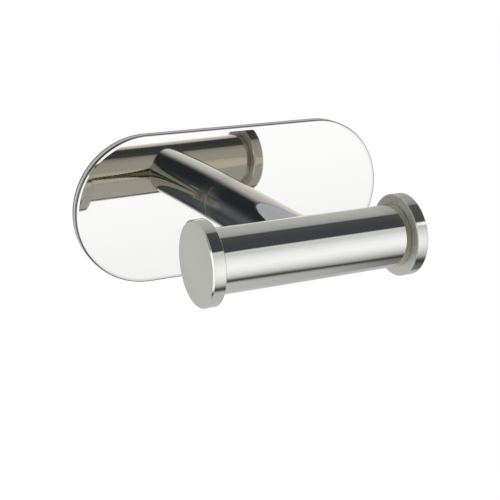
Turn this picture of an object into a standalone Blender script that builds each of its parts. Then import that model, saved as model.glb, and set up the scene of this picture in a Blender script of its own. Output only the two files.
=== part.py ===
"""Double wall hook: a short polished rail on a round post that stands off a flat oval plate.

The wall is the plane y = 0 and the hook stands out from it along -Y.
+X is the right hand of someone who faces the wall, and +Z is up.
The origin is the middle of the adhesive pad's back, on the wall.
"""
import math

import bmesh
import bpy

# Back plate, cut from flat bar and polished
PLATE_LENGTH = 0.100
PLATE_HEIGHT = 0.0445
PLATE_THICKNESS = 0.0034
PLATE_CHAMFER = 0.0004

# Foam pad that sticks the plate to the wall
PAD_THICKNESS = 0.0010
PAD_INSET = 0.0015
PAD_CHAMFER = 0.0002

# Post, with its place on the plate measured from the plate's middle
POST_DIAMETER = 0.0150
POST_X = -0.0024
POST_Z = -0.0005
POST_CHAMFER = 0.0003

# Crossbar tube, its reach measured from the plate's face to its own axis
BAR_REACH = 0.0488
BAR_OVERALL = 0.0628
BAR_DIAMETER = 0.0172
BAR_WALL = 0.0015
BAR_CHAMFER = 0.00025

# End caps, each a disc with a spigot that goes into the tube
CAP_DIAMETER = 0.0226
CAP_THICKNESS = 0.0036
CAP_CHAMFER = 0.0004
SPIGOT_LENGTH = 0.0070
SPIGOT_CHAMFER = 0.0006
SPIGOT_GROOVE_WIDTH = 0.0008
SPIGOT_GROOVE_DEPTH = 0.0004

# Long countersunk socket screw that clamps plate, post and crossbar, its tip past the bar's axis
SCREW_DIAMETER = 0.0050
SCREW_HEAD_DIAMETER = 0.0094
SCREW_HEAD_SUNK = 0.0002
SCREW_PAST_BAR_AXIS = 0.0030
SCREW_KEY = 0.0030
SCREW_KEY_DEPTH = 0.0019

# Dowel pin beside the screw that keeps the post from turning on the plate
PIN_DIAMETER = 0.0020
PIN_IN_PLATE = 0.0012
PIN_IN_POST = 0.0035
PIN_CHAMFER = 0.0002

# Slug inside the tube, behind the post, tapped for the screw
INSERT_LENGTH = 0.0160
INSERT_CHAMFER = 0.0005

# Clearance between pieces that touch, and what drilled holes and screw ends share
FIT_GAP = 0.0003
HOLE_RUNOUT = 0.0010
DRILL_POINT_ANGLE = math.radians(118)
THREAD_END_CHAMFER = 0.0006
CUT_MARGIN = 0.0010

# Facets of the large and the small round pieces, and of each half-round plate end
ROUND_STEPS = 96
SMALL_ROUND_STEPS = 48
PLATE_END_STEPS = 40
SHARP_ANGLE = math.radians(30)

# Places along the hook's reach, as distances from the wall
PLATE_BACK = PAD_THICKNESS + FIT_GAP
PLATE_FRONT = PLATE_BACK + PLATE_THICKNESS
POST_FOOT = PLATE_FRONT + FIT_GAP
BAR_AXIS = PLATE_FRONT + BAR_REACH

# Radii that one piece takes from another
BAR_RADIUS = BAR_DIAMETER / 2
BAR_BORE_RADIUS = BAR_RADIUS - BAR_WALL
FILLER_RADIUS = BAR_BORE_RADIUS - FIT_GAP
SADDLE_RADIUS = BAR_RADIUS + FIT_GAP
SCREW_HOLE_RADIUS = SCREW_DIAMETER / 2 + FIT_GAP
PIN_HOLE_RADIUS = PIN_DIAMETER / 2 + FIT_GAP
TUBE_HALF_LENGTH = BAR_OVERALL / 2 - CAP_THICKNESS - FIT_GAP

# Where the screw and the pin begin and end, as distances from the wall
SCREW_HEAD_BACK = PLATE_BACK + SCREW_HEAD_SUNK
SCREW_TIP = BAR_AXIS + SCREW_PAST_BAR_AXIS
PIN_BACK = PLATE_FRONT - PIN_IN_PLATE
PIN_FRONT = POST_FOOT + PIN_IN_POST

# The pin stands midway between the screw's hole and the post's side, above the screw
PIN_Z = POST_Z + (SCREW_HOLE_RADIUS + POST_DIAMETER / 2) / 2

# Turns that lay a piece modelled along +Z along the hook's own directions
OUT_FROM_WALL = (math.pi / 2, 0, 0)
TOWARDS_WALL = (-math.pi / 2, 0, 0)
TO_THE_RIGHT = (0, math.pi / 2, 0)
TO_THE_LEFT = (0, -math.pi / 2, 0)


def clear_scene():
    """Remove what the scene holds, so that the hook is alone in it."""
    for thing in list(bpy.data.objects):
        bpy.data.objects.remove(thing, do_unlink=True)


def finish(name, material, colour, metallic, roughness):
    """A Principled material for one piece, from linear colour, metallic value and roughness."""
    surface = bpy.data.materials.new(f"{name} {material}")
    surface.use_nodes = True
    shader = surface.node_tree.nodes["Principled BSDF"]
    shader.inputs["Base Color"].default_value = (*colour, 1)
    shader.inputs["Metallic"].default_value = metallic
    shader.inputs["Roughness"].default_value = roughness
    surface.diffuse_color = (*colour, 1)
    return surface


def polished_steel(name, roughness):
    """Polished stainless steel, a nearly neutral and slightly warm grey."""
    return finish(name, "polished steel", (0.63, 0.62, 0.59), 1.0, roughness)


def plain_steel(name):
    """Unpolished steel of the pieces that stay out of sight."""
    return finish(name, "plain steel", (0.36, 0.36, 0.37), 1.0, 0.35)


def foam(name):
    """Closed-cell acrylic foam with an adhesive on both faces."""
    return finish(name, "adhesive foam", (0.55, 0.55, 0.54), 0.0, 0.85)


def place(name, shape, location, turn, hook):
    """Put a bmesh in the scene as a smooth-shaded object under the hook's empty."""
    bmesh.ops.recalc_face_normals(shape, faces=shape.faces)
    mesh = bpy.data.meshes.new(name)
    shape.to_mesh(mesh)
    shape.free()
    mesh.shade_smooth()
    mesh.set_sharp_from_angle(angle=SHARP_ANGLE)
    piece = bpy.data.objects.new(name, mesh)
    bpy.context.collection.objects.link(piece)
    piece.location = location
    piece.rotation_euler = turn
    piece.parent = hook
    return piece


def cut(piece, name, shape, location, turn, hook):
    """Cut a shape out of a piece, with a hidden cutter and an exact Boolean."""
    cutter = place(name, shape, location, turn, hook)
    cutter.hide_render = True
    cutter.display_type = "WIRE"
    boolean = piece.modifiers.new(name, "BOOLEAN")
    boolean.operation = "DIFFERENCE"
    boolean.solver = "EXACT"
    boolean.object = cutter


def turned(profile, steps, closed=False):
    """A shape turned on a lathe about +Z, from (radius, height) points along its outline."""
    shape = bmesh.new()
    points = [shape.verts.new((radius, 0, height)) for radius, height in profile]
    pairs = list(zip(points, points[1:]))
    if closed:
        pairs.append((points[-1], points[0]))
    edges = [shape.edges.new(pair) for pair in pairs]
    bmesh.ops.spin(shape, geom=points + edges, cent=(0, 0, 0), axis=(0, 0, 1), angle=math.tau, steps=steps)
    bmesh.ops.remove_doubles(shape, verts=shape.verts, dist=1e-7)
    return shape


def drilled_hole(radius, start, end, steps):
    """A blind hole from one height to a greater one, with a drill's cone past its end."""
    point = radius / math.tan(DRILL_POINT_ANGLE / 2)
    return turned([(0, start), (radius, start), (radius, end), (0, end + point)], steps)


def reamed_hole(radius, depth):
    """A flat-bottomed hole for the pin, down from the surface at zero height to a depth."""
    return turned([(0, -CUT_MARGIN), (radius, -CUT_MARGIN), (radius, depth), (0, depth)], SMALL_ROUND_STEPS)


def hexagonal(across_flats, start, end):
    """A hexagonal prism along +Z between two heights, for a key's socket."""
    corner_radius = across_flats / math.sqrt(3)
    return turned([(0, start), (corner_radius, start), (corner_radius, end), (0, end)], 6)


def stadium(length, height, thickness, chamfer):
    """A flat plate with half-round ends in local XY, both its rims chamfered, with its back at zero."""
    radius = height / 2
    half_straight = length / 2 - radius
    shape = bmesh.new()
    outline = []
    for side in (1, -1):
        for step in range(PLATE_END_STEPS + 1):
            angle = math.pi * (step / PLATE_END_STEPS - 0.5)
            across = side * (half_straight + radius * math.cos(angle))
            outline.append(shape.verts.new((across, side * radius * math.sin(angle), 0)))
    back = shape.faces.new(outline)
    grown = bmesh.ops.extrude_face_region(shape, geom=[back])
    raised = [item for item in grown["geom"] if isinstance(item, bmesh.types.BMVert)]
    bmesh.ops.translate(shape, verts=raised, vec=(0, 0, thickness))
    rims = [edge for edge in shape.edges if edge.verts[0].co.z == edge.verts[1].co.z]
    bmesh.ops.bevel(shape, geom=rims, offset=chamfer, offset_type="OFFSET", segments=1, affect="EDGES")
    return shape


def back_plate(hook):
    """Oval plate, countersunk from behind for the screw, with a blind hole for the pin in its face."""
    shape = stadium(PLATE_LENGTH, PLATE_HEIGHT, PLATE_THICKNESS, PLATE_CHAMFER)
    plate = place("back_plate", shape, (0, -PLATE_BACK, 0), OUT_FROM_WALL, hook)
    plate.data.materials.append(polished_steel("back_plate", 0.04))
    slope_gap = FIT_GAP * math.sqrt(2)
    mouth_radius = SCREW_HEAD_DIAMETER / 2 + SCREW_HEAD_SUNK + slope_gap
    shoulder = mouth_radius - SCREW_HOLE_RADIUS
    through = PLATE_THICKNESS + CUT_MARGIN
    countersink = turned(
        [
            (0, -CUT_MARGIN),
            (mouth_radius + CUT_MARGIN, -CUT_MARGIN),
            (SCREW_HOLE_RADIUS, shoulder),
            (SCREW_HOLE_RADIUS, through),
            (0, through),
        ],
        SMALL_ROUND_STEPS,
    )
    cut(plate, "countersink_cutter", countersink, (POST_X, -PLATE_BACK, POST_Z), OUT_FROM_WALL, hook)
    pin_hole = reamed_hole(PIN_HOLE_RADIUS, PIN_IN_PLATE + FIT_GAP)
    cut(plate, "plate_pin_cutter", pin_hole, (POST_X, -PLATE_FRONT, PIN_Z), TOWARDS_WALL, hook)


def adhesive_pad(hook):
    """Foam pad a little smaller than the plate, whole over the sunk screw head."""
    length = PLATE_LENGTH - 2 * PAD_INSET
    height = PLATE_HEIGHT - 2 * PAD_INSET
    shape = stadium(length, height, PAD_THICKNESS, PAD_CHAMFER)
    pad = place("adhesive_pad", shape, (0, 0, 0), OUT_FROM_WALL, hook)
    pad.data.materials.append(foam("adhesive_pad"))


def post(hook):
    """Round post, bored through for the screw: pinned at its foot, coped to the tube at its front."""
    radius = POST_DIAMETER / 2
    reach = BAR_AXIS - POST_FOOT
    shape = turned(
        [(0, 0), (radius - POST_CHAMFER, 0), (radius, POST_CHAMFER), (radius, reach), (0, reach)],
        ROUND_STEPS,
    )
    rod = place("post", shape, (POST_X, -POST_FOOT, POST_Z), OUT_FROM_WALL, hook)
    rod.data.materials.append(polished_steel("post", 0.08))
    saddle_half = radius + CUT_MARGIN
    saddle = turned(
        [(0, -saddle_half), (SADDLE_RADIUS, -saddle_half), (SADDLE_RADIUS, saddle_half), (0, saddle_half)],
        ROUND_STEPS,
    )
    cut(rod, "saddle_cutter", saddle, (POST_X, -BAR_AXIS, POST_Z), TO_THE_RIGHT, hook)
    bore = turned(
        [(0, -CUT_MARGIN), (SCREW_HOLE_RADIUS, -CUT_MARGIN), (SCREW_HOLE_RADIUS, reach), (0, reach)],
        SMALL_ROUND_STEPS,
    )
    cut(rod, "screw_bore_cutter", bore, (POST_X, -POST_FOOT, POST_Z), OUT_FROM_WALL, hook)
    pin_hole = reamed_hole(PIN_HOLE_RADIUS, PIN_IN_POST + FIT_GAP)
    cut(rod, "post_pin_cutter", pin_hole, (POST_X, -POST_FOOT, PIN_Z), OUT_FROM_WALL, hook)


def crossbar(hook):
    """Tube across the post's end, with one hole in its back for the screw."""
    half = TUBE_HALF_LENGTH
    shape = turned(
        [
            (BAR_RADIUS - BAR_CHAMFER, half),
            (BAR_RADIUS, half - BAR_CHAMFER),
            (BAR_RADIUS, BAR_CHAMFER - half),
            (BAR_RADIUS - BAR_CHAMFER, -half),
            (BAR_BORE_RADIUS + BAR_CHAMFER, -half),
            (BAR_BORE_RADIUS, BAR_CHAMFER - half),
            (BAR_BORE_RADIUS, half - BAR_CHAMFER),
            (BAR_BORE_RADIUS + BAR_CHAMFER, half),
        ],
        ROUND_STEPS,
        closed=True,
    )
    tube = place("crossbar", shape, (POST_X, -BAR_AXIS, POST_Z), TO_THE_RIGHT, hook)
    tube.data.materials.append(polished_steel("crossbar", 0.08))
    depth = BAR_RADIUS + CUT_MARGIN
    screw_hole = turned(
        [(0, 0), (SCREW_HOLE_RADIUS, 0), (SCREW_HOLE_RADIUS, depth), (0, depth)], SMALL_ROUND_STEPS
    )
    cut(tube, "tube_hole_cutter", screw_hole, (POST_X, -BAR_AXIS, POST_Z), TOWARDS_WALL, hook)


def end_cap(name, side, turn, hook):
    """Turned disc with a chamfered face and a grooved spigot, on one end of the tube."""
    radius = CAP_DIAMETER / 2
    groove_radius = FILLER_RADIUS - SPIGOT_GROOVE_DEPTH
    shape = turned(
        [
            (0, CAP_THICKNESS),
            (radius - CAP_CHAMFER, CAP_THICKNESS),
            (radius, CAP_THICKNESS - CAP_CHAMFER),
            (radius, CAP_CHAMFER / 2),
            (radius - CAP_CHAMFER / 2, 0),
            (groove_radius, 0),
            (groove_radius, -SPIGOT_GROOVE_WIDTH),
            (FILLER_RADIUS, -SPIGOT_GROOVE_WIDTH),
            (FILLER_RADIUS, SPIGOT_CHAMFER - SPIGOT_LENGTH),
            (FILLER_RADIUS - SPIGOT_CHAMFER, -SPIGOT_LENGTH),
            (0, -SPIGOT_LENGTH),
        ],
        ROUND_STEPS,
    )
    inner_face = POST_X + side * (BAR_OVERALL / 2 - CAP_THICKNESS)
    cap = place(name, shape, (inner_face, -BAR_AXIS, POST_Z), turn, hook)
    cap.data.materials.append(polished_steel(name, 0.12))


def crossbar_insert(hook):
    """Slug that fills the tube behind the post and takes the screw's thread."""
    half = INSERT_LENGTH / 2
    shape = turned(
        [
            (0, half),
            (FILLER_RADIUS - INSERT_CHAMFER, half),
            (FILLER_RADIUS, half - INSERT_CHAMFER),
            (FILLER_RADIUS, INSERT_CHAMFER - half),
            (FILLER_RADIUS - INSERT_CHAMFER, -half),
            (0, -half),
        ],
        ROUND_STEPS,
    )
    slug = place("crossbar_insert", shape, (POST_X, -BAR_AXIS, POST_Z), TO_THE_RIGHT, hook)
    slug.data.materials.append(plain_steel("crossbar_insert"))
    hole_end = SCREW_PAST_BAR_AXIS + HOLE_RUNOUT
    tapped_hole = drilled_hole(SCREW_HOLE_RADIUS, -BAR_RADIUS, hole_end, SMALL_ROUND_STEPS)
    cut(slug, "tapped_hole_cutter", tapped_hole, (POST_X, -BAR_AXIS, POST_Z), OUT_FROM_WALL, hook)


def plate_screw(hook):
    """Countersunk socket screw from the plate's back, down the post's bore, into the insert."""
    shank_radius = SCREW_DIAMETER / 2
    head_radius = SCREW_HEAD_DIAMETER / 2
    head_depth = head_radius - shank_radius
    length = SCREW_TIP - SCREW_HEAD_BACK
    shape = turned(
        [
            (0, 0),
            (head_radius, 0),
            (shank_radius, head_depth),
            (shank_radius, length - THREAD_END_CHAMFER),
            (shank_radius - THREAD_END_CHAMFER, length),
            (0, length),
        ],
        SMALL_ROUND_STEPS,
    )
    screw = place("plate_screw", shape, (POST_X, -SCREW_HEAD_BACK, POST_Z), OUT_FROM_WALL, hook)
    screw.data.materials.append(plain_steel("plate_screw"))
    socket = hexagonal(SCREW_KEY, -CUT_MARGIN, SCREW_KEY_DEPTH)
    cut(screw, "screw_key_cutter", socket, (POST_X, -SCREW_HEAD_BACK, POST_Z), OUT_FROM_WALL, hook)


def locating_pin(hook):
    """Dowel pin, chamfered at both ends, pressed in the plate's face and let into the post's foot."""
    radius = PIN_DIAMETER / 2
    length = PIN_FRONT - PIN_BACK
    shape = turned(
        [
            (0, 0),
            (radius - PIN_CHAMFER, 0),
            (radius, PIN_CHAMFER),
            (radius, length - PIN_CHAMFER),
            (radius - PIN_CHAMFER, length),
            (0, length),
        ],
        SMALL_ROUND_STEPS,
    )
    pin = place("locating_pin", shape, (POST_X, -PIN_BACK, PIN_Z), OUT_FROM_WALL, hook)
    pin.data.materials.append(plain_steel("locating_pin"))


clear_scene()
hook_origin = bpy.data.objects.new("wall_hook", None)
bpy.context.collection.objects.link(hook_origin)
adhesive_pad(hook_origin)
back_plate(hook_origin)
locating_pin(hook_origin)
post(hook_origin)
plate_screw(hook_origin)
crossbar_insert(hook_origin)
crossbar(hook_origin)
end_cap("end_cap_left", -1, TO_THE_LEFT, hook_origin)
end_cap("end_cap_right", 1, TO_THE_RIGHT, hook_origin)
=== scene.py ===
import math

import bpy
import numpy as np
from mathutils import Matrix, Vector


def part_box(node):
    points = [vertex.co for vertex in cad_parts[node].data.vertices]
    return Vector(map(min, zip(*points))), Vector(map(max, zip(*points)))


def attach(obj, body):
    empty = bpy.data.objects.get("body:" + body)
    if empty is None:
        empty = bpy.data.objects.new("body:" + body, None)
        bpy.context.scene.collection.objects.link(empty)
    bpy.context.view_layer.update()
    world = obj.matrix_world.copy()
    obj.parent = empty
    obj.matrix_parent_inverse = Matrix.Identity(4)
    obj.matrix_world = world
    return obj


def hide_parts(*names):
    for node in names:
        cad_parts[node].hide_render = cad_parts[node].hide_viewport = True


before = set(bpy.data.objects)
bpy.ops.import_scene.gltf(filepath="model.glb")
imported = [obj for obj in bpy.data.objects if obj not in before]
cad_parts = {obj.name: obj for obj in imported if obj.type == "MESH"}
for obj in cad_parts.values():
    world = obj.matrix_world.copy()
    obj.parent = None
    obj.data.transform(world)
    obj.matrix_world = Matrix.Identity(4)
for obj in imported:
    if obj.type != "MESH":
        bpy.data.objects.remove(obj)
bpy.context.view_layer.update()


# Adhesive pad. On the real hook it is a sheet of closed-cell acrylic foam, tacky on both faces,
# die-cut a little smaller than the plate and squeezed flat between the plate and the wall.
# Pieces that touch keep a hair's breadth between them, and flat faces a margin beside their rounded edges.
PAD_LOW, PAD_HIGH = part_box("adhesive_pad")
PLATE_LOW, PLATE_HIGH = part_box("back_plate")
PAD_COLOUR = "#DCDBD6"
PAD_CELL = 0.0003
PAD_PIT_DEPTH = 0.00006
PAD_PIT_STRENGTH = 0.6
PAD_CLOUD = 0.006
PAD_SHADES = (0.92, 1.06)
PAD_EDGE_ROUNDING = 0.0003
HAIR = 0.00002
FLAT_MARGIN = 0.004
END_STEPS = 96
SIDE_STEPS = 48


def linear(colour):
    """The linear colour of an sRGB hex value, by the sRGB curve."""
    value = np.array([int(colour[i:i + 2], 16) for i in (1, 3, 5)]) / 255
    value = np.where(value <= 0.04045, value / 12.92, ((value + 0.055) / 1.055) ** 2.4)
    return (*value.tolist(), 1.0)


def add_node(tree, kind, inputs=None, **settings):
    """A node with its settings, and inputs that are each a plain value or the socket that feeds them."""
    node = tree.nodes.new(kind)
    for name, value in settings.items():
        setattr(node, name, value)
    for name, value in (inputs or {}).items():
        if isinstance(value, bpy.types.NodeSocket):
            tree.links.new(value, node.inputs[name])
        else:
            node.inputs[name].default_value = value
    return node


def new_material(name, colour, metallic, roughness):
    """A Principled material from a hex colour, with its node tree and its shader."""
    material = bpy.data.materials.new(name)
    material.use_nodes = True
    shader = material.node_tree.nodes["Principled BSDF"]
    shader.inputs["Base Color"].default_value = linear(colour)
    shader.inputs["Metallic"].default_value = metallic
    shader.inputs["Roughness"].default_value = roughness
    return material, material.node_tree, shader


def rounded(corners, radii, closed, steps=6, support=0.00002):
    """A profile whose corners are turned by small arcs.

    Each arc touches both sides of its corner at radius / tan(half the corner's angle) from it, and its points turn
    evenly from one touching point to the other. One more point just outside each end keeps the flat beside it flat.
    """
    corners = np.asarray(corners, float)
    radii = np.broadcast_to(radii, len(corners))[:, None]
    before = np.roll(corners, 1, axis=0) - corners
    after = np.roll(corners, -1, axis=0) - corners
    before /= np.linalg.norm(before, axis=1, keepdims=True)
    after /= np.linalg.norm(after, axis=1, keepdims=True)
    half = np.arccos((before * after).sum(axis=1, keepdims=True)) / 2
    bisector = (before + after) / np.linalg.norm(before + after, axis=1, keepdims=True)
    centre = corners + bisector * radii / np.sin(half)
    reach = radii / np.tan(half)
    start = corners + before * reach - centre
    end = corners + after * reach - centre
    turn = (math.pi - 2 * half)[:, :, None]
    share = np.linspace(0, 1, steps + 1)[None, :, None]
    from_start = np.sin((1 - share) * turn) * start[:, None]
    from_end = np.sin(share * turn) * end[:, None]
    arcs = centre[:, None] + (from_start + from_end) / np.sin(turn)
    lead_in = (corners + before * (reach + support))[:, None]
    lead_out = (corners + after * (reach + support))[:, None]
    turned_corners = np.concatenate([lead_in, arcs, lead_out], axis=1)
    if closed:
        return turned_corners.reshape(-1, 2)
    return np.vstack([corners[:1], turned_corners[1:-1].reshape(-1, 2), corners[-1:]])


def stadium(length, height, inset):
    """The outline of a strip with half-round ends, anticlockwise from the bottom of its right end, as rows of (x, z).

    Each end is a half circle of radius height / 2 - inset about a centre (length - height) / 2 from the middle.
    """
    radius = height / 2 - inset
    reach = (length - height) / 2
    turn = np.linspace(-math.pi / 2, math.pi / 2, END_STEPS + 1)
    along = np.linspace(-reach, reach, SIDE_STEPS + 1)[1:-1]
    right = np.stack([reach + radius * np.cos(turn), radius * np.sin(turn)], axis=1)
    top = np.stack([-along, np.full_like(along, radius)], axis=1)
    return np.concatenate([right, top, -right, -top])


def skin(name, grid, loop):
    """A closed mesh over a grid of points whose columns go round and meet again.

    The last row joins the first where loop is true. Otherwise each end row closes on a point in its own middle.
    The faces are turned over where the sum of their signed volumes says that they point inwards.
    """
    rows, columns = grid.shape[:2]
    points = grid.reshape(-1, 3)
    index = np.arange(rows * columns).reshape(rows, columns)
    if loop:
        index = np.vstack([index, index[:1]])
    beside = np.roll(index, -1, axis=1)
    faces = np.stack([index[:-1], beside[:-1], beside[1:], index[1:]], axis=-1).reshape(-1, 4)
    first, second, third, fourth = (points[faces[:, corner]] for corner in range(4))
    volume = np.einsum("ij,ij->", first, np.cross(second, third))
    volume += np.einsum("ij,ij->", first, np.cross(third, fourth))
    faces = faces.tolist()
    if not loop:
        points = np.vstack([points, grid[0].mean(axis=0), grid[-1].mean(axis=0)])
        first_pole = np.full(columns, rows * columns)
        faces += np.stack([beside[0], index[0], first_pole], axis=1).tolist()
        faces += np.stack([index[-1], beside[-1], first_pole + 1], axis=1).tolist()
    if volume < 0:
        faces = [face[::-1] for face in faces]
    mesh = bpy.data.meshes.new(name)
    mesh.from_pydata(points.tolist(), [], faces)
    mesh.shade_smooth()
    piece = bpy.data.objects.new(name, mesh)
    bpy.context.scene.collection.objects.link(piece)
    return piece


def settle(piece, material, node):
    """Give a piece its material, and let it stand for its CAD node."""
    piece.data.materials.append(material)
    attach(piece, "root")
    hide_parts(node)


def strip(name, length, height, profile):
    """A flat strip with half-round ends from rows of (inset, distance from the wall), closed in its middle."""
    rows = [np.insert(stadium(length, height, inset), 1, -distance, axis=1) for inset, distance in profile]
    return skin(name, np.array(rows), loop=False)


def acrylic_foam():
    """Closed-cell acrylic foam: matt and pale, its skin pitted by cells of a few tenths of a millimetre.

    Soft clouds of some millimetres, where the foam set a little denser, make it slightly lighter and darker.
    """
    material, tree, shader = new_material("closed_cell_acrylic_foam", PAD_COLOUR, metallic=0.0, roughness=0.85)
    place = add_node(tree, "ShaderNodeTexCoord").outputs["Object"]
    cells = add_node(tree, "ShaderNodeTexVoronoi", {"Vector": place, "Scale": 1 / PAD_CELL})
    cloud = add_node(tree, "ShaderNodeTexNoise", {"Vector": place, "Scale": 1 / PAD_CLOUD, "Detail": 4.0})
    shade = add_node(tree, "ShaderNodeMapRange", {
        "Value": cloud.outputs["Fac"], "To Min": PAD_SHADES[0], "To Max": PAD_SHADES[1],
    })
    colour = add_node(tree, "ShaderNodeVectorMath", {
        0: linear(PAD_COLOUR)[:3], "Scale": shade.outputs["Result"],
    }, operation="SCALE")
    tree.links.new(colour.outputs["Vector"], shader.inputs["Base Color"])
    pits = add_node(tree, "ShaderNodeBump", {
        "Height": cells.outputs["Distance"], "Distance": PAD_PIT_DEPTH, "Strength": PAD_PIT_STRENGTH,
    })
    tree.links.new(pits.outputs["Normal"], shader.inputs["Normal"])
    return material


pad_length = PAD_HIGH.x - PAD_LOW.x
pad_height = PAD_HIGH.z - PAD_LOW.z
pad_face = -PLATE_HIGH.y - HAIR
pad_middle = pad_height / 2 - FLAT_MARGIN
pad_profile = rounded(
    [(pad_middle, 0.0), (0.0, 0.0), (0.0, pad_face), (pad_middle, pad_face)],
    PAD_EDGE_ROUNDING, closed=False,
)
pad = strip("foam_pad", pad_length, pad_height, pad_profile)
settle(pad, acrylic_foam(), "adhesive_pad")


# Back plate. It is die-cut from flat stainless bar, drilled and countersunk from behind for the clamp screw.
# Its face is buffed to a mirror, which leaves it a touch hollow along its length and rolls it off at the rim.
# The edge stays satin. Its colour is darkened by painted shade, with a brighter painted band half way through.
PLATE_CHAMFER = 0.0004
FRONT_BEVEL_DEPTH = 0.00024
PLATE_EDGE_ROUNDING = 0.00020
ROLL_OFF_WIDTH = 0.00100
ROLL_OFF_DEPTH = 0.000058
ROLL_OFF_ROUNDING = 0.0030
HOLLOW = 0.58
HOLLOW_MIDDLE = 0.018
TWIST = 0.22
TWIST_MIDDLE = -0.011
BUFFED_PAST_CORNER = 0.00006
EDGE_STARTS = PLATE_LOW.y + ROLL_OFF_DEPTH + BUFFED_PAST_CORNER
EDGE_BLUR = 0.00004
# Painted shade: the share of its colour that the plate's edge keeps outside the brighter painted band.
EDGE_PAINTED_SHADE = 0.30
EDGE_ROUGHNESS = (0.22, 0.38)
EDGE_LINE_PITCH = 0.0004
EDGE_LINE_STRETCH = (0.05, 1.0, 0.05)
# The brighter painted band on the edge: its depth from the front, its place, half width and blur.
PAINTED_BAND_DEPTH = 0.00140
PAINTED_BAND_PLACE = PLATE_LOW.y + PAINTED_BAND_DEPTH
PAINTED_BAND_HALF = 0.00055
PAINTED_BAND_BLUR = 0.3
HAZE_CLOUD = 0.018
HAZE_ROUGHNESS = (0.015, 0.045)
SCREW_HOLE_RADIUS = 0.0028
COUNTERSINK_RADIUS = 0.0053
COUNTERSINK_DEPTH = 0.0025
HOLE_EDGE_ROUNDING = 0.00008
HOLE_MARGIN = 0.001
POST_LOW, POST_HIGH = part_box("post")
POST_X = (POST_LOW.x + POST_HIGH.x) / 2
POST_Z = (POST_LOW.z + POST_HIGH.z) / 2
MIRROR_STEEL = "#D6D2C6"
STEEL_GRAZING_TINT = (1.0, 0.975, 0.93, 1.0)


def new_steel(name, colour, roughness):
    """A steel: a bare metal that stays faintly warm at grazing angles too, with its node tree and its shader."""
    material, tree, shader = new_material(name, colour, metallic=1.0, roughness=roughness)
    shader.inputs["Specular Tint"].default_value = STEEL_GRAZING_TINT
    return material, tree, shader


def mirror_steel():
    """Mirror-buffed stainless steel: faintly warm and sharp in reflection, with a trace of haze left by the wheel.

    Its face is tilted as if it had the height hollow / 2 * (x - its middle) squared + twist * (x - its middle) * z.
    This dish is too shallow for the mesh, but it stretches reflections along the plate. Behind the face the steel
    turns satin, with fine lines round the edge that are drawn coarser than real ones. There its colour is darkened
    by painted shade, with a brighter painted band half way through the plate's thickness.
    """
    material, tree, shader = new_steel("mirror_buffed_stainless", MIRROR_STEEL, roughness=0.03)
    place = add_node(tree, "ShaderNodeTexCoord").outputs["Object"]
    split = add_node(tree, "ShaderNodeSeparateXYZ", {"Vector": place})
    cloud = add_node(tree, "ShaderNodeTexNoise", {"Vector": place, "Scale": 1 / HAZE_CLOUD, "Detail": 3.0})
    haze = add_node(tree, "ShaderNodeMapRange", {
        "Value": cloud.outputs["Fac"], "From Min": 0.3, "From Max": 0.75,
        "To Min": HAZE_ROUGHNESS[0], "To Max": HAZE_ROUGHNESS[1],
    })
    stretched = add_node(tree, "ShaderNodeMapping", {"Vector": place, "Scale": EDGE_LINE_STRETCH})
    lines = add_node(tree, "ShaderNodeTexNoise", {
        "Vector": stretched.outputs["Vector"], "Scale": 1 / EDGE_LINE_PITCH,
    })
    satin = add_node(tree, "ShaderNodeMapRange", {
        "Value": lines.outputs["Fac"], "To Min": EDGE_ROUGHNESS[0], "To Max": EDGE_ROUGHNESS[1],
    })
    edge = add_node(tree, "ShaderNodeMapRange", {
        "Value": split.outputs["Y"], "From Min": EDGE_STARTS - EDGE_BLUR, "From Max": EDGE_STARTS + EDGE_BLUR,
    })
    blur = add_node(tree, "ShaderNodeMix", {
        "Factor": edge.outputs["Result"], "A": haze.outputs["Result"], "B": satin.outputs["Result"],
    })
    tree.links.new(blur.outputs["Result"], shader.inputs["Roughness"])
    # Painted shade on the edge: its colour is dimmed, except for a brighter painted band half way through.
    off_painted_band = add_node(tree, "ShaderNodeMath", {
        0: split.outputs["Y"], 1: PAINTED_BAND_PLACE,
    }, operation="SUBTRACT")
    distance = add_node(tree, "ShaderNodeMath", {0: off_painted_band.outputs[0]}, operation="ABSOLUTE")
    painted_band = add_node(tree, "ShaderNodeMapRange", {
        "Value": distance.outputs[0], "To Min": 1.0, "To Max": EDGE_PAINTED_SHADE,
        "From Min": PAINTED_BAND_HALF * (1 - PAINTED_BAND_BLUR), "From Max": PAINTED_BAND_HALF * (1 + PAINTED_BAND_BLUR),
    })
    shade = add_node(tree, "ShaderNodeMix", {
        "Factor": edge.outputs["Result"], "A": 1.0, "B": painted_band.outputs["Result"],
    })
    dimmed = add_node(tree, "ShaderNodeVectorMath", {
        0: linear(MIRROR_STEEL)[:3], "Scale": shade.outputs["Result"],
    }, operation="SCALE")
    tree.links.new(dimmed.outputs["Vector"], shader.inputs["Base Color"])
    from_hollow = add_node(tree, "ShaderNodeMath", {
        0: split.outputs["X"], 1: HOLLOW_MIDDLE,
    }, operation="SUBTRACT").outputs[0]
    squared = add_node(tree, "ShaderNodeMath", {0: from_hollow, 1: from_hollow}, operation="MULTIPLY")
    from_twist = add_node(tree, "ShaderNodeMath", {
        0: split.outputs["X"], 1: TWIST_MIDDLE,
    }, operation="SUBTRACT").outputs[0]
    twisted = add_node(tree, "ShaderNodeMath", {0: from_twist, 1: split.outputs["Z"]}, operation="MULTIPLY")
    height = add_node(tree, "ShaderNodeMath", {
        0: twisted.outputs[0], 1: 2 * TWIST / HOLLOW, 2: squared.outputs[0],
    }, operation="MULTIPLY_ADD")
    dish = add_node(tree, "ShaderNodeBump", {"Height": height.outputs[0], "Distance": HOLLOW / 2})
    tree.links.new(dish.outputs["Normal"], shader.inputs["Normal"])
    return material


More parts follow.
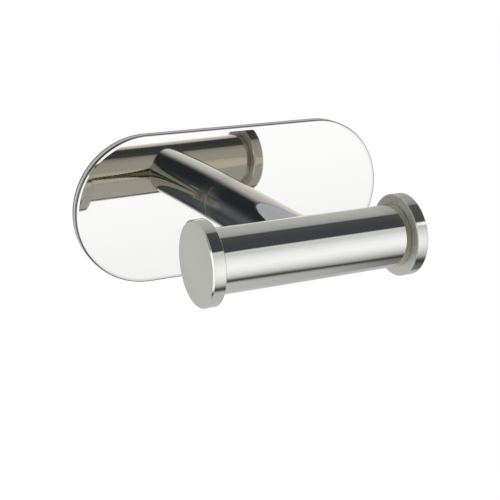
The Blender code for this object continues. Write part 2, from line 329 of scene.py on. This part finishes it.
def drilled_strip(name, length, height, centre, edge, hole):
    """A flat strip with half-round ends and a round hole through it, closed like a ring.

    Edge rows are (inset, distance from the wall) on the outline. Hole rows are (radius, distance from the wall), and
    their points lie on the straight line from the hole's centre to the outline's point of the same column.
    """
    spokes = stadium(length, height, 0.0) - centre
    spokes /= np.linalg.norm(spokes, axis=1, keepdims=True)
    rows = [np.insert(stadium(length, height, inset), 1, -distance, axis=1) for inset, distance in edge]
    rows += [np.insert(centre + spokes * radius, 1, -distance, axis=1) for radius, distance in hole]
    return skin(name, np.array(rows), loop=True)


plate_back = -PLATE_HIGH.y
plate_front = -PLATE_LOW.y
plate_edge = rounded(
    [
        (ROLL_OFF_WIDTH + FLAT_MARGIN, plate_front),
        (ROLL_OFF_WIDTH, plate_front),
        (PLATE_CHAMFER, plate_front - ROLL_OFF_DEPTH),
        (0.0, plate_front - FRONT_BEVEL_DEPTH),
        (0.0, plate_back + PLATE_CHAMFER),
        (PLATE_CHAMFER, plate_back),
        (PLATE_CHAMFER + FLAT_MARGIN, plate_back),
    ],
    [0.0, ROLL_OFF_ROUNDING] + [PLATE_EDGE_ROUNDING] * 4 + [0.0], closed=False,
)
plate_hole = rounded(
    [
        (COUNTERSINK_RADIUS + HOLE_MARGIN, plate_back),
        (COUNTERSINK_RADIUS, plate_back),
        (SCREW_HOLE_RADIUS, plate_back + COUNTERSINK_DEPTH),
        (SCREW_HOLE_RADIUS, plate_front),
        (SCREW_HOLE_RADIUS + HOLE_MARGIN, plate_front),
    ],
    HOLE_EDGE_ROUNDING, closed=False,
)
plate_length = PLATE_HIGH.x - PLATE_LOW.x
plate_height = PLATE_HIGH.z - PLATE_LOW.z
screw_place = np.array([POST_X, POST_Z])
plate = drilled_strip("mirror_plate", plate_length, plate_height, screw_place, plate_edge, plate_hole)
settle(plate, mirror_steel(), "back_plate")


# Locating pin, clamp screw and insert. Plain machined steel, hidden once the hook is together: the pin keeps
# the post from turning, and the long countersunk screw pulls plate, post and crossbar into the tapped insert.
PLAIN_STEEL = "#CFCFD0"
TOOL_MARK_PITCH = 0.0004
TOOL_MARK_DEPTH = 0.00001
TOOL_MARK_STRENGTH = 0.5
TOOL_MARK_ROUGHNESS = (0.24, 0.42)


def machined_steel():
    """Plain turned steel as it leaves the lathe: satin, with fine marks left by the cutting tool."""
    material, tree, shader = new_steel("plain_machined_steel", PLAIN_STEEL, roughness=0.32)
    place = add_node(tree, "ShaderNodeTexCoord").outputs["Object"]
    marks = add_node(tree, "ShaderNodeTexNoise", {
        "Vector": place, "Scale": 1 / TOOL_MARK_PITCH, "Detail": 2.0,
    }).outputs["Fac"]
    blur = add_node(tree, "ShaderNodeMapRange", {
        "Value": marks, "To Min": TOOL_MARK_ROUGHNESS[0], "To Max": TOOL_MARK_ROUGHNESS[1],
    })
    tree.links.new(blur.outputs["Result"], shader.inputs["Roughness"])
    ridges = add_node(tree, "ShaderNodeBump", {
        "Height": marks, "Distance": TOOL_MARK_DEPTH, "Strength": TOOL_MARK_STRENGTH,
    })
    tree.links.new(ridges.outputs["Normal"], shader.inputs["Normal"])
    return material


plain_steel = machined_steel()
for hidden in ("locating_pin", "plate_screw", "crossbar_insert"):
    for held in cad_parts[hidden].material_slots:
        held.material = plain_steel


# Post. A round stainless rod, faced square at its foot, coped at its front to the crossbar's round and bored for
# the screw. It is polished along its length on a wheel, which leaves faint streaks and never quite gets into the
# corner at the plate.
POST_RADIUS = (POST_HIGH.x - POST_LOW.x) / 2
POST_FOOT = -PLATE_LOW.y + HAIR
BAR_LOW, BAR_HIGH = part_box("crossbar")
BAR_RADIUS = (BAR_HIGH.z - BAR_LOW.z) / 2
BAR_AXIS = -(BAR_LOW.y + BAR_HIGH.y) / 2
SADDLE_RADIUS = BAR_RADIUS + HAIR
POST_EDGE_ROUNDING = 0.00010
ROUND_STEPS = 256
POST_STEEL = "#C1BFB8"
ALONG_POST = (1.0, 0.02, 1.0)
FOOT_ROUGHNESS = 0.16
FOOT_LENGTH = 0.012
LINE_PITCH = 0.0003
LINE_DEPTH = 0.0000008
LINE_DIMMING = 0.1
POLISH_CLOUD = 0.009
POLISH_SPREAD = (0.6, 1.6)
TURNED_ROUGHNESS = (0.50, 0.64)


def polished_steel(name, colour, roughness, stretch, line_strength, dull_foot=None, plain_between=None):
    """Polished stainless steel: bright and faintly warm, with hair-fine lines along the way that the wheel ran.

    The lines are noise stretched fifty- to a hundredfold in that direction, drawn coarser than real ones so that
    they show. They roughen, dim and tilt the surface slightly. A dull foot, given as the roughness it adds and its
    length from the plate, is what the wheel missed. Between two given places along the crossbar the steel stays
    matt, as the lathe left it.
    """
    material, tree, shader = new_steel(name, colour, roughness)
    place = add_node(tree, "ShaderNodeTexCoord").outputs["Object"]
    stretched = add_node(tree, "ShaderNodeMapping", {"Vector": place, "Scale": stretch})
    lines = add_node(tree, "ShaderNodeTexNoise", {
        "Vector": stretched.outputs["Vector"], "Scale": 1 / LINE_PITCH, "Detail": 3.0,
    }).outputs["Fac"]
    cloud = add_node(tree, "ShaderNodeTexNoise", {
        "Vector": place, "Scale": 1 / POLISH_CLOUD, "Detail": 2.0,
    }).outputs["Fac"]
    both = add_node(tree, "ShaderNodeMath", {0: lines, 1: cloud}, operation="MULTIPLY")
    blur = add_node(tree, "ShaderNodeMapRange", {
        "Value": both.outputs["Value"], "From Min": 0.1, "From Max": 0.5,
        "To Min": roughness * POLISH_SPREAD[0], "To Max": roughness * POLISH_SPREAD[1],
    })
    roughened = blur.outputs["Result"]
    if dull_foot:
        foot_roughness, foot_length = dull_foot
        along_post = add_node(tree, "ShaderNodeSeparateXYZ", {"Vector": place}).outputs["Y"]
        missed = add_node(tree, "ShaderNodeMapRange", {
            "Value": along_post, "From Min": -POST_FOOT - foot_length, "From Max": -POST_FOOT,
            "To Min": 0.0, "To Max": foot_roughness,
        }, interpolation_type="SMOOTHSTEP")
        rougher = add_node(tree, "ShaderNodeMath", {0: roughened, 1: missed.outputs["Result"]}, operation="ADD")
        roughened = rougher.outputs[0]
    if plain_between:
        start, end = plain_between
        along_bar = add_node(tree, "ShaderNodeSeparateXYZ", {"Vector": place}).outputs["X"]
        inside = add_node(tree, "ShaderNodeMath", {
            0: along_bar, 1: (start + end) / 2, 2: (end - start) / 2,
        }, operation="COMPARE")
        turned_marks = add_node(tree, "ShaderNodeMapRange", {
            "Value": lines, "To Min": TURNED_ROUGHNESS[0], "To Max": TURNED_ROUGHNESS[1],
        })
        both_finishes = add_node(tree, "ShaderNodeMix", {
            "Factor": inside.outputs[0], "A": roughened, "B": turned_marks.outputs["Result"],
        })
        roughened = both_finishes.outputs["Result"]
    tree.links.new(roughened, shader.inputs["Roughness"])
    shade = add_node(tree, "ShaderNodeMapRange", {
        "Value": lines, "From Min": 0.3, "From Max": 0.7,
        "To Min": 1 - LINE_DIMMING * line_strength, "To Max": 1.0,
    })
    dimmed = add_node(tree, "ShaderNodeVectorMath", {
        0: linear(colour)[:3], "Scale": shade.outputs["Result"],
    }, operation="SCALE")
    tree.links.new(dimmed.outputs["Vector"], shader.inputs["Base Color"])
    tilt = add_node(tree, "ShaderNodeBump", {"Height": lines, "Distance": LINE_DEPTH, "Strength": line_strength})
    tree.links.new(tilt.outputs["Normal"], shader.inputs["Normal"])
    return material


def coped_post(name, profile, length):
    """A bored rod from a closed profile of (radius, distance from the foot), turned round the post's axis.

    In the half of the profile next to the bar, distances are kept from the saddle instead. There the saddle lies at
    bar axis - sqrt(saddle radius squared - height above the axis squared) from the wall.
    """
    turn = np.linspace(0, 2 * math.pi, ROUND_STEPS, endpoint=False)
    radius = profile[:, :1]
    distance = profile[:, 1:]
    side = radius * np.cos(turn)
    height = radius * np.sin(turn)
    saddle = BAR_AXIS - np.sqrt(SADDLE_RADIUS ** 2 - height ** 2)
    out = np.where(distance < length / 2, POST_FOOT + distance, saddle - length + distance)
    return skin(name, np.stack([POST_X + side, -out, POST_Z + height], axis=-1), loop=True)


post_length = BAR_AXIS - SADDLE_RADIUS - POST_FOOT
post_profile = rounded(
    [(SCREW_HOLE_RADIUS, 0.0), (POST_RADIUS, 0.0), (POST_RADIUS, post_length), (SCREW_HOLE_RADIUS, post_length)],
    POST_EDGE_ROUNDING, closed=True,
)
post = coped_post("coped_post", post_profile, post_length)
post_steel = polished_steel(
    "post_polished_stainless", POST_STEEL, roughness=0.05, stretch=ALONG_POST, line_strength=0.9,
    dull_foot=(FOOT_ROUGHNESS, FOOT_LENGTH),
)
settle(post, post_steel, "post")


# Crossbar. A length of round stainless tube, cut square, its ends eased by a touch of the file and polished
# lengthways. The real tube is drilled across at its back for the screw, which this tube leaves out.
POLISHED_STEEL = "#CDC9BB"
ALONG_BAR = (0.01, 1.0, 1.0)
BAR_BORE_RADIUS = 0.0071
CAP_LEFT_LOW, CAP_LEFT_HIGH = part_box("end_cap_left")
CAP_RIGHT_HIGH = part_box("end_cap_right")[1]
CAP_THICKNESS = 0.0036
JOINT = 0.00004
BAR_END_ROUNDING = 0.00020


def turned(name, profile, loop):
    """A piece turned round the crossbar's axis from a profile of (x, radius).

    At each turn, a point lies at radius * cos(turn) behind the axis and radius * sin(turn) above it.
    """
    turn = np.linspace(0, 2 * math.pi, ROUND_STEPS, endpoint=False)
    radius = profile[:, 1:]
    x = np.broadcast_to(profile[:, :1], (len(profile), ROUND_STEPS))
    y = radius * np.cos(turn) - BAR_AXIS
    z = radius * np.sin(turn) + POST_Z
    return skin(name, np.stack([x, y, z], axis=-1), loop=loop)


left_seat = CAP_LEFT_LOW.x + CAP_THICKNESS
right_seat = CAP_RIGHT_HIGH.x - CAP_THICKNESS
tube_profile = rounded(
    [
        (left_seat + JOINT, BAR_BORE_RADIUS),
        (left_seat + JOINT, BAR_RADIUS),
        (right_seat - JOINT, BAR_RADIUS),
        (right_seat - JOINT, BAR_BORE_RADIUS),
    ],
    BAR_END_ROUNDING, closed=True,
)
crossbar = turned("crossbar_tube", tube_profile, loop=True)
bar_steel = polished_steel(
    "bar_polished_stainless", POLISHED_STEEL, roughness=0.04, stretch=ALONG_BAR, line_strength=0.3,
)
settle(crossbar, bar_steel, "crossbar")


# End caps. Stainless discs turned in one with a grooved spigot that is glued in the tube. Their outer faces are
# polished and their edges have a small bright chamfer. The rims keep fine lines from the lathe, and the inner
# faces, round the tube's ends, stay as turned.
CAP_RADIUS = (CAP_LEFT_HIGH.z - CAP_LEFT_LOW.z) / 2
CAP_CHAMFER = 0.0004
CAP_BACK_CHAMFER = 0.0002
CAP_EDGE_ROUNDING = 0.00005
SPIGOT_RADIUS = 0.0068
SPIGOT_LENGTH = 0.0070
GROOVE_DEPTH = 0.0004
GROOVE_WIDTH = 0.0008
FACE_RING = 0.05
SPIGOT_RING = 0.1
ROUND_THE_RIM = (1.0, 0.02, 0.02)


def end_cap(name, face, inwards):
    """An end cap with its outer face at x = face. Its spigot points inwards: +1 to the right, -1 to the left.

    Both ends are flat, and close on their middle from a small ring that is a share of the end's radius.
    """
    groove = CAP_THICKNESS + SPIGOT_LENGTH / 2
    steps = np.array([
        (0.0, CAP_RADIUS * FACE_RING),
        (0.0, CAP_RADIUS - CAP_CHAMFER),
        (CAP_CHAMFER, CAP_RADIUS),
        (CAP_THICKNESS - CAP_BACK_CHAMFER, CAP_RADIUS),
        (CAP_THICKNESS, CAP_RADIUS - CAP_BACK_CHAMFER),
        (CAP_THICKNESS, SPIGOT_RADIUS),
        (groove - GROOVE_WIDTH / 2, SPIGOT_RADIUS),
        (groove - GROOVE_WIDTH / 2, SPIGOT_RADIUS - GROOVE_DEPTH),
        (groove + GROOVE_WIDTH / 2, SPIGOT_RADIUS - GROOVE_DEPTH),
        (groove + GROOVE_WIDTH / 2, SPIGOT_RADIUS),
        (CAP_THICKNESS + SPIGOT_LENGTH, SPIGOT_RADIUS),
        (CAP_THICKNESS + SPIGOT_LENGTH, SPIGOT_RADIUS * SPIGOT_RING),
    ])
    profile = rounded(steps, CAP_EDGE_ROUNDING, closed=False)
    profile[:, 0] = face + inwards * profile[:, 0]
    return turned(name, profile, loop=False)


inner_faces = (left_seat - CAP_BACK_CHAMFER / 2, right_seat + CAP_BACK_CHAMFER / 2)
cap_steel = polished_steel(
    "cap_turned_stainless", POLISHED_STEEL, roughness=0.05, stretch=ROUND_THE_RIM, line_strength=1.0,
    plain_between=inner_faces,
)
left_cap = end_cap("left_cap", CAP_LEFT_LOW.x, 1)
right_cap = end_cap("right_cap", CAP_RIGHT_HIGH.x, -1)
settle(left_cap, cap_steel, "end_cap_left")
settle(right_cap, cap_steel, "end_cap_right")


# Studio. Polished steel shows what stands round it, so the hook hangs in a big soft tent of pale and dark cloth:
# wall and table, dark ceiling, dim camera side, and a bright panel on the left and on the right. Each zone has its
# own light and its own edges, in degrees or as the sideways share x of a direction.
TENT_RADIUS = 1.4
TENT_STEPS = 720
RIGHT_SIDE = (0.54, 0.57)
LEFT_SIDE = (0.34, 0.39)


def ease(value, start, end):
    """0 before start, 1 after end, and between them the smooth curve 3 t squared - 2 t cubed."""
    share = np.clip((value - start) / (end - start), 0, 1)
    return share * share * (3 - 2 * share)


def fade(value, start, end):
    """1 before start, 0 after end, and between them the same curve turned over."""
    return ease(-value, -end, -start)


def hump(value, middle, falls):
    """1 at the middle and exp(-t squared / 2) beside it, where t is the distance in units of that side's fall."""
    away = value - middle
    fall_before, fall_after = falls
    return np.exp(-(away / np.where(away < 0, fall_before, fall_after)) ** 2 / 2)


def lay(under, over, cover):
    """One light laid over another, where cover is 1."""
    cover = np.asarray(cover)[..., None]
    return under * (1 - cover) + np.asarray(over) * cover


WALL_LIGHT = (0.67, 0.70, 0.77)
WALL_TOP = 99
WALL_TOP_SHADE = 0.4
WALL_TOP_FALL = 14
WALL_RIGHT_SHADE = 0.2
WALL_LEFT_GAIN = 0.08
WALL_LEFT = (0, 0.4)


def wall(x, tilt, right):
    """The pale wall behind. The ceiling shades it by top shade * exp(-the angle below the wall's top / top fall)."""
    behind = np.where(tilt < 0, tilt + 360, tilt) - WALL_TOP
    shade = WALL_TOP_SHADE * np.exp(-np.clip(behind, 0, 180) / WALL_TOP_FALL)
    strength = (1 - shade) * (1 - WALL_RIGHT_SHADE * right)
    return (strength * (1 + WALL_LEFT_GAIN * ease(-x, *WALL_LEFT)))[..., None] * np.asarray(WALL_LIGHT)


TABLE_LIGHT = (0.76, 0.80, 0.90)
TABLE_FRONT = (-60, -44)
TABLE_TOP = (-35, -20)
TABLE_RIGHT_LIGHT = (0.65, 0.685, 0.77)
TABLE_RIGHT = (0.33, 0.47)
TABLE_END_LIGHT = (0.24, 0.252, 0.28)
TABLE_END = (0.45, 0.58)
TABLE_END_BACK = (-112, -98)


def table(light, x, tilt, rise):
    """The pale table below, greyer to the right and dark at its right end."""
    below = fade(tilt, *TABLE_FRONT) * fade(rise, *TABLE_TOP)
    light = lay(light, TABLE_LIGHT, below)
    light = lay(light, TABLE_RIGHT_LIGHT, below * ease(x, *TABLE_RIGHT))
    return lay(light, TABLE_END_LIGHT, below * ease(x, *TABLE_END) * ease(tilt, *TABLE_END_BACK))


CEILING_LIGHT = (0.078, 0.088, 0.114)
CEILING_FRONT = 41.2
CEILING_FRONT_BLUR = 4.2
CEILING_BACK = 94
CEILING_BACK_BLUR = 8
CEILING_SKEW = (2, 3)
CEILING_LEFT_END = (-0.6, -0.4)
CEILING_REAR_LIGHT = (0.098, 0.107, 0.121)
CEILING_REAR = (66, 92)
CEILING_RIGHT_LIGHT = (0.125, 0.130, 0.138)


def ceiling(light, x, tilt, right, front_edge, back_edge):
    """The dark ceiling, a little lighter at its rear and on the right."""
    overhead = ease(tilt, front_edge, front_edge + CEILING_FRONT_BLUR)
    overhead = overhead * fade(tilt, back_edge, back_edge + CEILING_BACK_BLUR) * ease(x, *CEILING_LEFT_END)
    light = lay(light, CEILING_LIGHT, overhead)
    light = lay(light, CEILING_REAR_LIGHT, overhead * ease(tilt, *CEILING_REAR))
    return lay(light, CEILING_RIGHT_LIGHT, overhead * right)


CAMERA_SIDE_LIGHT = (0.045, 0.056, 0.075)
CAMERA_SIDE_FROM = (-75, -45)
CAMERA_SIDE_TO = (10, 40)
CAMERA_LEFT_LIGHT = (0.28, 0.34, 0.44)
CAMERA_LEFT_TOP = (0, 22)
CAMERA_LEFT_MIDDLE = -36
CAMERA_LEFT_FALLS = (14, 8)
CAMERA_LEFT_WIDER = 10
CAMERA_LEFT_FOOT = (-30, -15)
CAMERA_MIDDLE_LIGHT = (0.60, 0.62, 0.70)
CAMERA_MIDDLE = -8
CAMERA_MIDDLE_RADIUS = 17
CAMERA_MIDDLE_RIM = (0.8, 1.25)


def camera_side(light, swing, rise, front):
    """The dim side where the camera is, with a glow low on its left and a paler round in its middle."""
    dim = front * ease(swing, *CAMERA_SIDE_FROM) * fade(swing, *CAMERA_SIDE_TO)
    light = lay(light, CAMERA_SIDE_LIGHT, dim)
    fall_before, fall_after = CAMERA_LEFT_FALLS
    fall_after = fall_after + CAMERA_LEFT_WIDER * fade(rise, *CAMERA_LEFT_FOOT)
    glow = fade(rise, *CAMERA_LEFT_TOP) * hump(swing, CAMERA_LEFT_MIDDLE, (fall_before, fall_after))
    light = lay(light, CAMERA_LEFT_LIGHT, front * glow)
    away = np.hypot((swing - CAMERA_MIDDLE) / CAMERA_MIDDLE_RADIUS, rise / CAMERA_MIDDLE_RADIUS)
    return lay(light, CAMERA_MIDDLE_LIGHT, front * fade(away, *CAMERA_MIDDLE_RIM))


LEFT_PANEL_LIGHT = (1.60, 1.67, 1.90)
LEFT_PANEL_BOTTOM = (-56, -50)
LEFT_PANEL_TOP = (20, 26)
LEFT_PANEL_FROM = (-138, -128)
LEFT_PANEL_TO = (-62, -48)


def left_panel(light, swing, rise):
    """The bright panel far on the left."""
    upright = ease(rise, *LEFT_PANEL_BOTTOM) * fade(rise, *LEFT_PANEL_TOP)
    return lay(light, LEFT_PANEL_LIGHT, upright * ease(swing, *LEFT_PANEL_FROM) * fade(swing, *LEFT_PANEL_TO))


PANEL_LIGHT = (1.48, 1.55, 1.75)
PANEL_MIDDLE = -6.0
PANEL_FALLS = (33, 40)
PANEL_RIGHT_DROP = 3.5
PANEL_RIGHT_SHADE = 0.13
PANEL_FROM = 0.5
PANEL_FROM_BLUR = 20
PANEL_WIDER_ABOVE = 1.5
PANEL_ABOVE = (5, 28)
PANEL_BULGE = 14
PANEL_BULGE_MIDDLE = -17
PANEL_BULGE_FALLS = (6, 8)
PANEL_TO = (80, 110)
HEM_LIGHT = (0.94, 0.985, 1.13)
BRIGHT_HEM_LIGHT = (1.80, 1.88, 2.10)
HEM = (34, 37)


def right_panel(light, tilt, swing, rise, right, front):
    """The bright panel in front on the right, with a hem along its top that is brighter at the right.

    Its light is a hump over the tilt. Its near edge bulges to the left low down.
    """
    panel = hump(tilt, PANEL_MIDDLE - PANEL_RIGHT_DROP * right, PANEL_FALLS) * (1 - PANEL_RIGHT_SHADE * right)
    panel = lay(panel[..., None] * np.asarray(PANEL_LIGHT), HEM_LIGHT, ease(tilt, *HEM))
    panel = lay(panel, BRIGHT_HEM_LIGHT, right * ease(tilt, *HEM))
    edge = PANEL_FROM - PANEL_WIDER_ABOVE * ease(rise, *PANEL_ABOVE)
    edge = edge - PANEL_BULGE * hump(rise, PANEL_BULGE_MIDDLE, PANEL_BULGE_FALLS)
    facing = ease(swing, edge, edge + PANEL_FROM_BLUR) * fade(swing, *PANEL_TO)
    return lay(light, panel, front * facing)


GAP_LIGHT = (0.070, 0.070, 0.064)
GAP_COVER = 0.97
GAP_RISE = -49.2
GAP_FALLS = (3.6, 5.4)
GAP_NARROWER = 2.6
GAP_RIGHT = (0.40, 0.50)
GAP_FROM = (-120, -100)
GAP_TO = (80, 110)


def gap_below(light, x, swing, rise):
    """The dark gap between the panels' feet and the table, narrower to the right."""
    fall_before, fall_after = GAP_FALLS
    fall_after = fall_after - GAP_NARROWER * ease(x, *GAP_RIGHT)
    gap = hump(rise, GAP_RISE, (fall_before, fall_after))
    return lay(light, GAP_LIGHT, GAP_COVER * gap * ease(swing, *GAP_FROM) * fade(swing, *GAP_TO))


FRONT_FOOT = (-56, -46)
END_LIGHT = (0.74, 0.77, 0.85)
TENT_ENDS = (0.93, 0.985)


def tent_light(way):
    """The tent's linear light from each direction, given as unit vectors.

    Tilt is the angle round the crossbar's axis: 0 in front, 90 overhead, 180 behind and negative below.
    Swing is the angle to the right of the front, and rise is the angle above the horizon. The zones meet at the two
    ends of the crossbar's axis, so those ends have one plain light.
    """
    x, y, z = way[..., 0], way[..., 1], way[..., 2]
    tilt = np.degrees(np.arctan2(z, -y))
    swing = np.degrees(np.arctan2(x, -y))
    rise = np.degrees(np.arcsin(np.clip(z, -1, 1)))
    right = ease(x, *RIGHT_SIDE)
    left = fade(x, *LEFT_SIDE)
    front_edge = CEILING_FRONT - CEILING_SKEW[0] * left
    back_edge = CEILING_BACK - CEILING_SKEW[1] * left
    front = ease(tilt, *FRONT_FOOT) * fade(tilt, front_edge, front_edge + CEILING_FRONT_BLUR)
    light = wall(x, tilt, right)
    light = table(light, x, tilt, rise)
    light = ceiling(light, x, tilt, right, front_edge, back_edge)
    light = camera_side(light, swing, rise, front)
    light = left_panel(light, swing, rise)
    light = right_panel(light, tilt, swing, rise, right, front)
    light = gap_below(light, x, swing, rise)
    return lay(light, END_LIGHT, ease(np.abs(x), *TENT_ENDS))


def light_tent():
    """A sphere round the hook, a grid of latitude by longitude, that shines inwards and that only reflections see."""
    rise = np.linspace(-math.pi / 2, math.pi / 2, TENT_STEPS // 2 + 1)[1:-1, None]
    swing = np.linspace(0, 2 * math.pi, TENT_STEPS, endpoint=False)[None]
    level = np.cos(rise)
    way = np.stack([level * np.cos(swing), level * np.sin(swing), np.sin(rise) + 0 * swing], axis=-1)
    tent = skin("light_tent", way * TENT_RADIUS, loop=False)
    way = np.array([vertex.co for vertex in tent.data.vertices])
    way /= np.linalg.norm(way, axis=1, keepdims=True)
    colour = np.concatenate([tent_light(way), np.ones((len(way), 1))], axis=1)
    attribute = tent.data.color_attributes.new("light", "FLOAT_COLOR", "POINT")
    attribute.data.foreach_set("color", colour.astype(np.float32).ravel())
    material = bpy.data.materials.new("tent_cloth")
    material.use_nodes = True
    material.cycles.emission_sampling = "NONE"
    tree = material.node_tree
    tree.nodes.clear()
    painted = add_node(tree, "ShaderNodeAttribute", attribute_name="light")
    glow = add_node(tree, "ShaderNodeEmission", {"Color": painted.outputs["Color"]})
    add_node(tree, "ShaderNodeOutputMaterial", {"Surface": glow.outputs["Emission"]})
    tent.data.materials.append(material)
    tent.visible_camera = False
    tent.visible_diffuse = False
    tent.visible_shadow = False


light_tent()

FLOOR_DEPTH = 1.5
FLOOR_REACH = 12.0
FLOOR_COLOUR = "#F2F2F0"
FLOOR_WHITENESS = 0.97


def seen_directly(tree):
    """1 for rays that show the background: straight to the camera, mirrored or through glass."""
    path = add_node(tree, "ShaderNodeLightPath")
    mirrored = add_node(tree, "ShaderNodeMath", {
        0: path.outputs["Is Camera Ray"], 1: path.outputs["Is Glossy Ray"],
    }, operation="MAXIMUM")
    through = add_node(tree, "ShaderNodeMath", {
        0: mirrored.outputs[0], 1: path.outputs["Is Transmission Ray"],
    }, operation="MAXIMUM")
    return through.outputs[0]


def pale_floor():
    """A plain pale floor far below the hook, all but white to the camera, and matt so that it keeps the shadow."""
    corners = np.array([(-1, -1), (1, -1), (1, 1), (-1, 1)]) * FLOOR_REACH
    mesh = bpy.data.meshes.new("floor")
    mesh.from_pydata([(x, y, -FLOOR_DEPTH) for x, y in corners.tolist()], [], [(0, 1, 2, 3)])
    floor = bpy.data.objects.new("floor", mesh)
    bpy.context.scene.collection.objects.link(floor)
    material = bpy.data.materials.new("pale_floor")
    material.use_nodes = True
    tree = material.node_tree
    tree.nodes.clear()
    matt = add_node(tree, "ShaderNodeBsdfDiffuse", {"Color": linear(FLOOR_COLOUR)})
    white = add_node(tree, "ShaderNodeEmission", {"Color": (1, 1, 1, 1), "Strength": 1.0})
    cover = add_node(tree, "ShaderNodeMath", {
        0: seen_directly(tree), 1: FLOOR_WHITENESS,
    }, operation="MULTIPLY")
    mix = add_node(tree, "ShaderNodeMixShader", {
        0: cover.outputs[0], 1: matt.outputs[0], 2: white.outputs[0],
    })
    add_node(tree, "ShaderNodeOutputMaterial", {"Surface": mix.outputs[0]})
    mesh.materials.append(material)


pale_floor()
world = bpy.data.worlds.new("studio")
world.use_nodes = True
world.node_tree.nodes["Background"].inputs["Color"].default_value = (1, 1, 1, 1)
world.node_tree.nodes["Background"].inputs["Strength"].default_value = 1.0
bpy.context.scene.world = world
bpy.context.scene.view_settings.view_transform = "Standard"


# Camera. It stands to the left of the hook and a little above it, about a third of a metre away, and looks down
# on it through a moderately long lens.
CAMERA_SWING = math.radians(-26.09)
CAMERA_RISE = math.radians(18.50)
CAMERA_LEAN = math.radians(0.52)
CAMERA_DISTANCE = 0.3209
CAMERA_AIM = Vector((0.005294, -0.0047, -0.016916))
LENS = 74.11

camera_data = bpy.data.cameras.new("camera")
camera_data.lens = LENS
camera_data.sensor_width = 36.0
camera_data.clip_end = 100.0
camera = bpy.data.objects.new("camera", camera_data)
swung = Matrix.Rotation(CAMERA_SWING, 4, "Z")
looking_down = Matrix.Rotation(math.pi / 2 - CAMERA_RISE, 4, "X")
leaning = Matrix.Rotation(CAMERA_LEAN, 4, "Z")
turn = swung @ looking_down @ leaning
camera.matrix_world = Matrix.Translation(CAMERA_AIM) @ turn @ Matrix.Translation((0, 0, CAMERA_DISTANCE))
bpy.context.scene.collection.objects.link(camera)
bpy.context.scene.camera = camera
